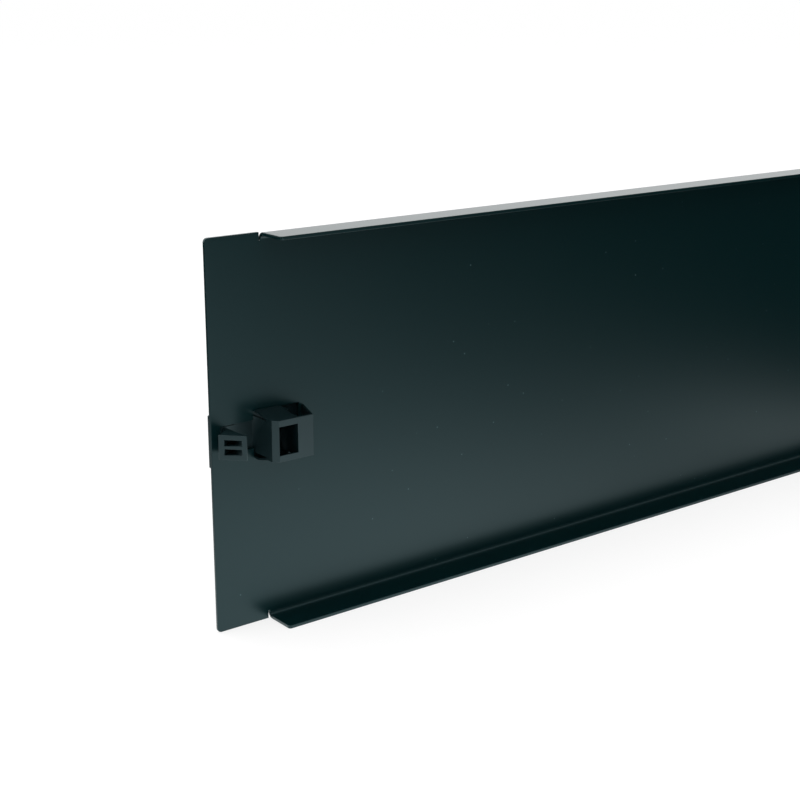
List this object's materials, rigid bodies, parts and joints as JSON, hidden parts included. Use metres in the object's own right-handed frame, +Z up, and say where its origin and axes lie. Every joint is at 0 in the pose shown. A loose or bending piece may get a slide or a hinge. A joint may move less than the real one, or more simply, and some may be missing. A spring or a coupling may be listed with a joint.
{
  "type": "rack blanking panel",
  "caption": "Black folded-steel blanking panel for a server rack, with rearward flanges along its top and bottom and a moulded snap-in clip with a hook and a guide box at each end.",
  "frame": {"origin": "on the face that bears on the rack's rails, at the middle of the panel's length and height", "axes": "+X along the panel, +Y rearwards into the rack, normal to the seating face, +Z up"},
  "size_m": [0.4836, 0.0142, 0.1326],
  "materials": {
    "powder_coated_steel": "semi-gloss black powder coat",
    "moulded_nylon": "fine-grained black moulding"
  },
  "bodies": {
    "root": {"blanking_panel": "powder_coated_steel", "snap_clip_left": "moulded_nylon", "snap_clip_right": "moulded_nylon"}
  },
  "joints": []
}
